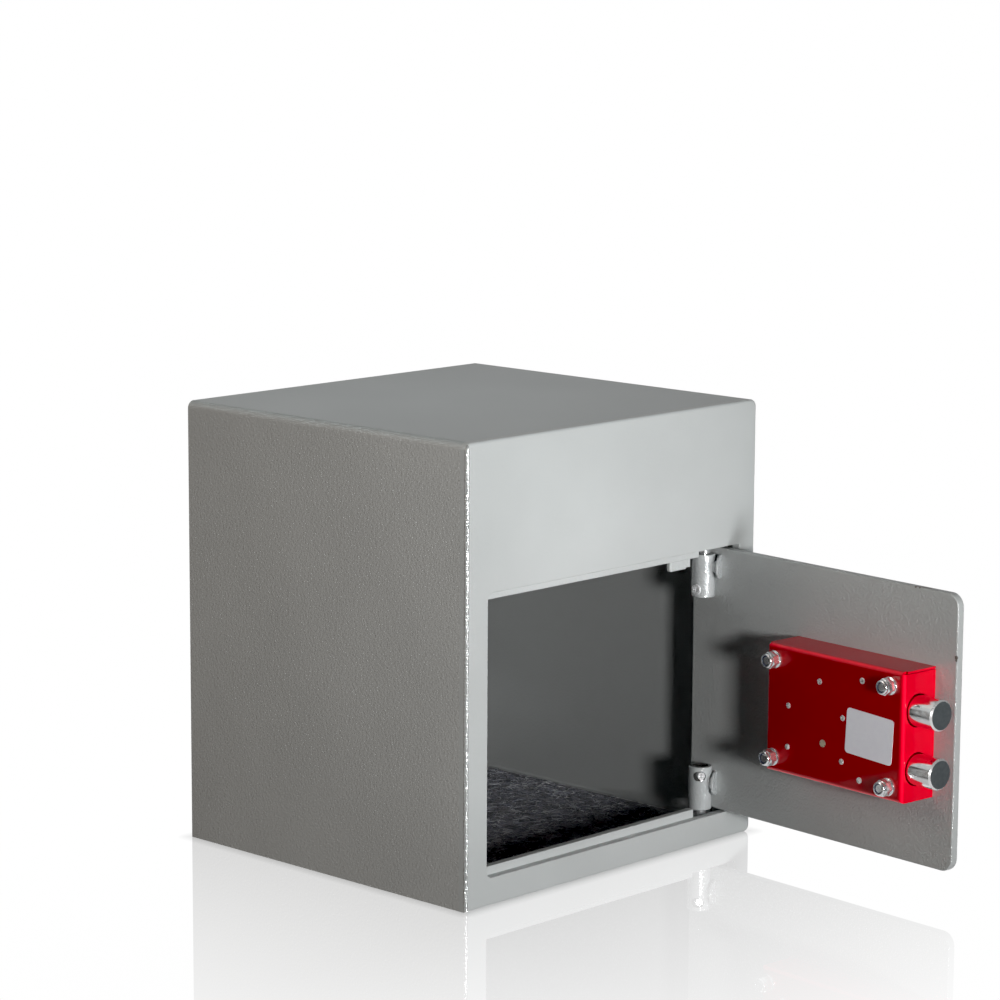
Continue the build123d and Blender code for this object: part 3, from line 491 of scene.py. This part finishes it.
# ---------------------------------------------------------------- welds of the hinge brackets
def weld(name, points, radius, seed):
    """A short lumpy bead of weld under paint, closed at both ends."""
    r = np.random.default_rng(seed)
    p = np.array(points)
    seg = np.linalg.norm(np.diff(p, axis=0), axis=1)
    at = np.concatenate([[0.0], np.cumsum(seg)])
    n = max(14, int(at[-1] / 0.00035))
    t = np.linspace(0.0, at[-1], n)
    line = np.stack([np.interp(t, at, p[:, i]) for i in range(3)], 1)
    for _ in range(6):
        line[1:-1] = (line[:-2] + 2 * line[1:-1] + line[2:]) / 4
    tan = np.gradient(line, axis=0)
    tan /= np.linalg.norm(tan, axis=1, keepdims=True)
    ref = np.array([0.31, 0.87, 0.38])
    side = np.cross(tan, ref)
    side /= np.linalg.norm(side, axis=1, keepdims=True)
    up = np.cross(side, tan)
    m = 14
    ang = np.linspace(0, 2 * math.pi, m, endpoint=False)
    ripple = 1.0 + 0.13 * np.sin(t / 0.0011 * 2 * math.pi + r.uniform(0, 6)) + r.normal(0, 0.035, n)
    ends = np.sqrt(np.clip(np.minimum(t, at[-1] - t) / radius, 0.0, 1.0) * (2 - np.clip(np.minimum(t, at[-1] - t) / radius, 0.0, 1.0)))
    rad = radius * ripple * np.maximum(ends, 0.12)
    lump = 1.0 + r.normal(0, 0.04, (n, m))
    verts = (line[:, None] + (side[:, None] * np.cos(ang)[None, :, None] + up[:, None] * np.sin(ang)[None, :, None])
             * (rad[:, None] * lump)[..., None]).reshape(-1, 3)
    faces = [(i * m + j, i * m + (j + 1) % m, (i + 1) * m + (j + 1) % m, (i + 1) * m + j) for i in range(n - 1) for j in range(m)]
    faces += [tuple(range(m - 1, -1, -1)), tuple((n - 1) * m + j for j in range(m))]
    me = bpy.data.meshes.new(name)
    me.from_pydata(verts.tolist(), [], faces)
    bm = bmesh.new()
    bm.from_mesh(me)
    bmesh.ops.recalc_face_normals(bm, faces=bm.faces)
    bm.to_mesh(me)
    bm.free()
    me.polygons.foreach_set("use_smooth", [True] * len(me.polygons))
    ob = bpy.data.objects.new(name, me)
    scene.collection.objects.link(ob)
    me.materials.append(M["hinge_paint"])
    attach(ob, "cabinet")
    return ob


weld("upper_bracket_weld", [(0.0864, -0.1170, 0.1913), (0.0872, -0.1156, 0.1936), (0.0882, -0.1138, 0.1966),
                            (0.0886, -0.1126, 0.2010), (0.0884, -0.1118, 0.2050)], 0.0013, 71)
weld("lower_bracket_weld", [(0.1125, -0.1165, 0.0141), (0.1155, -0.1152, 0.0143), (0.1185, -0.1146, 0.0143),
                            (0.1212, -0.1132, 0.0139)], 0.0012, 72)

# ---------------------------------------------------------------- floor and light
floor_mesh = bpy.data.meshes.new("floor")
floor_mesh.from_pydata([(-9, -9, 0), (9, -9, 0), (9, 9, 0), (-9, 9, 0)], [], [(0, 1, 2, 3)])
floor = bpy.data.objects.new("floor", floor_mesh)
scene.collection.objects.link(floor)
g = Graph("floor_paint")
# pale glowing floor with a polish that fades out away from the cabinet, and a painted contact shadow round its
# footprint
sep = g.node("ShaderNodeSeparateXYZ")
g.link(g.pos, sep.inputs[0])
dx = g.math("SUBTRACT", g.math("ABSOLUTE", sep.outputs[0]), 0.14)
dy = g.math("SUBTRACT", g.math("ABSOLUTE", sep.outputs[1]), 0.13)
dxp, dyp = g.math("MAXIMUM", dx, 0.0), g.math("MAXIMUM", dy, 0.0)
dist = g.math("SQRT", g.math("ADD", g.math("MULTIPLY", dxp, dxp), g.math("MULTIPLY", dyp, dyp)))
polish = g.remap(dist, 0.0, 0.40, 0.36, 0.0)
# painted shadow: the floor's glow is dimmed within 10 mm of the cabinet's footprint
contact_shadow = g.remap(dist, 0.0, 0.010, 0.72, 1.0)
em = g.node("ShaderNodeEmission")
g.link(g.mix(contact_shadow, (0.0, 0.0, 0.0), (1.0, 1.0, 1.0)), em.inputs["Color"])
em.inputs["Strength"].default_value = 1.0
gl = g.node("ShaderNodeBsdfGlossy")
gl.inputs["Color"].default_value = (1, 1, 1, 1)
gl.inputs["Roughness"].default_value = 0.0
mx = g.node("ShaderNodeMixShader")
g.link(polish, mx.inputs[0])
g.link(em.outputs[0], mx.inputs[1])
g.link(gl.outputs[0], mx.inputs[2])
g.link(mx.outputs[0], g.out.inputs["Surface"])
floor_mesh.materials.append(g.mat)
floor.visible_diffuse = False
floor.visible_glossy = False

world = bpy.data.worlds.new("world")
scene.world = world
world.use_nodes = True
wt = world.node_tree
wt.nodes.clear()
wo = wt.nodes.new("ShaderNodeOutputWorld")
tc = wt.nodes.new("ShaderNodeTexCoord")
ws = wt.nodes.new("ShaderNodeSeparateXYZ")
wt.links.new(tc.outputs["Generated"], ws.inputs[0])


def wmap(v, a, b, c, d):
    n = wt.nodes.new("ShaderNodeMapRange")
    n.interpolation_type = "SMOOTHSTEP"
    wt.links.new(v, n.inputs["Value"])
    for name, x in zip(("From Min", "From Max", "To Min", "To Max"), (a, b, c, d)):
        n.inputs[name].default_value = x
    return n.outputs[0]


def wmath(op, a, b):
    n = wt.nodes.new("ShaderNodeMath")
    n.operation = op
    for i, v in enumerate((a, b)):
        if hasattr(v, "is_output"):
            wt.links.new(v, n.inputs[i])
        else:
            n.inputs[i].default_value = v
    return n.outputs[0]


AMBIENT, BACKDROP = 0.004, 1.0
back = wmap(ws.outputs[1], 0.0, 0.35, 0.0, 1.0)          # white backdrop, behind and to the right
right = wmap(ws.outputs[0], -0.15, 0.45, 0.04, 1.0)
high = wmap(ws.outputs[2], 0.25, 0.75, 1.0, 0.15)
level = wmath("ADD", wmath("MULTIPLY", wmath("MULTIPLY", wmath("MULTIPLY", back, high), right), BACKDROP), AMBIENT)
lp = wt.nodes.new("ShaderNodeLightPath")
# the backdrop is weaker in paint and metal than in the polished floor
soft = wmath("MULTIPLY", lp.outputs["Is Glossy Ray"], wmath("SUBTRACT", 1.0, lp.outputs["Is Singular Ray"]))
level = wmath("MULTIPLY", level, wmap(soft, 0.0, 1.0, 1.0, 0.60))
bg1 = wt.nodes.new("ShaderNodeBackground")
wt.links.new(level, bg1.inputs["Strength"])
bg1.inputs["Color"].default_value = (1, 1, 1, 1)
bg2 = wt.nodes.new("ShaderNodeBackground")
bg2.inputs["Color"].default_value = (1, 1, 1, 1)
bg2.inputs["Strength"].default_value = 1.0
# what bright metal mirrors: the dim brown room to the left and behind, and the white floor below
room = wmath("MULTIPLY", wmap(ws.outputs[0], 0.25, -0.15, 0.0, 1.0), wmap(ws.outputs[1], -0.45, 0.10, 0.0, 1.0))
room = wmath("MULTIPLY", room, wmap(ws.outputs[2], -0.40, -0.22, 0.0, 1.0))
under = wmap(ws.outputs[2], -0.30, -0.55, 0.0, 0.60)
loft = wmath("MULTIPLY", wmap(ws.outputs[0], 0.45, 0.15, 0.0, 1.0), wmap(ws.outputs[1], 0.20, 0.45, 0.0, 1.0))
loft = wmath("MULTIPLY", loft, wmap(ws.outputs[2], 0.22, 0.42, 0.0, 0.62))
under = wmath("ADD", under, loft)
bg3 = wt.nodes.new("ShaderNodeBackground")
bg3.inputs["Color"].default_value = (0.20, 0.155, 0.125, 1)
wt.links.new(wmath("MULTIPLY", room, lp.outputs["Is Glossy Ray"]), bg3.inputs["Strength"])
bg4 = wt.nodes.new("ShaderNodeBackground")
bg4.inputs["Color"].default_value = (1, 1, 1, 1)
wt.links.new(wmath("MULTIPLY", under, lp.outputs["Is Glossy Ray"]), bg4.inputs["Strength"])
add1 = wt.nodes.new("ShaderNodeAddShader")
add2 = wt.nodes.new("ShaderNodeAddShader")
wt.links.new(bg3.outputs[0], add1.inputs[0])
wt.links.new(bg4.outputs[0], add1.inputs[1])
wt.links.new(bg1.outputs[0], add2.inputs[0])
wt.links.new(add1.outputs[0], add2.inputs[1])
wm = wt.nodes.new("ShaderNodeMixShader")
wt.links.new(lp.outputs["Is Camera Ray"], wm.inputs[0])
wt.links.new(add2.outputs[0], wm.inputs[1])
wt.links.new(bg2.outputs[0], wm.inputs[2])
wt.links.new(wm.outputs[0], wo.inputs["Surface"])


def lamp(name, place, aim, energy, sx, sy, colour=(1, 1, 1), seen=True, spread=180.0):
    ld = bpy.data.lights.new(name, "AREA")
    ld.spread = math.radians(spread)
    ld.shape = "RECTANGLE"
    ld.size, ld.size_y = sx, sy
    ld.energy = energy
    ld.color = colour
    lo = bpy.data.objects.new(name, ld)
    lo.location = place
    lo.rotation_euler = (Vector(aim) - Vector(place)).to_track_quat("-Z", "Y").to_euler()
    lo.visible_camera = False
    lo.visible_glossy = seen
    scene.collection.objects.link(lo)
    return lo


K1, K3, K4 = 2.42, 0.80, 5.45
K5 = 0.130
lamp("key", (-0.743, -1.604, 0.330), (0.0, -0.13, 0.330), K1, 0.19, 0.21, (1.0, 0.985, 0.965), spread=64.0)
lamp("front", (-0.114, -1.624, 0.073), (-0.02, -0.13, 0.26), K3, 0.12, 0.12, (0.97, 0.99, 1.0), spread=56.0)
lamp("warm_fill", (-1.5, 0.5, 1.17), (-0.14, 0.0, 0.2), K4, 0.8, 0.8, (1.0, 0.90, 0.80))
lamp("overhead", (-0.04, 0.04, 1.50), (-0.04, 0.04, 0.0), K5, 0.30, 0.30, (0.93, 0.985, 1.0), spread=40.0)
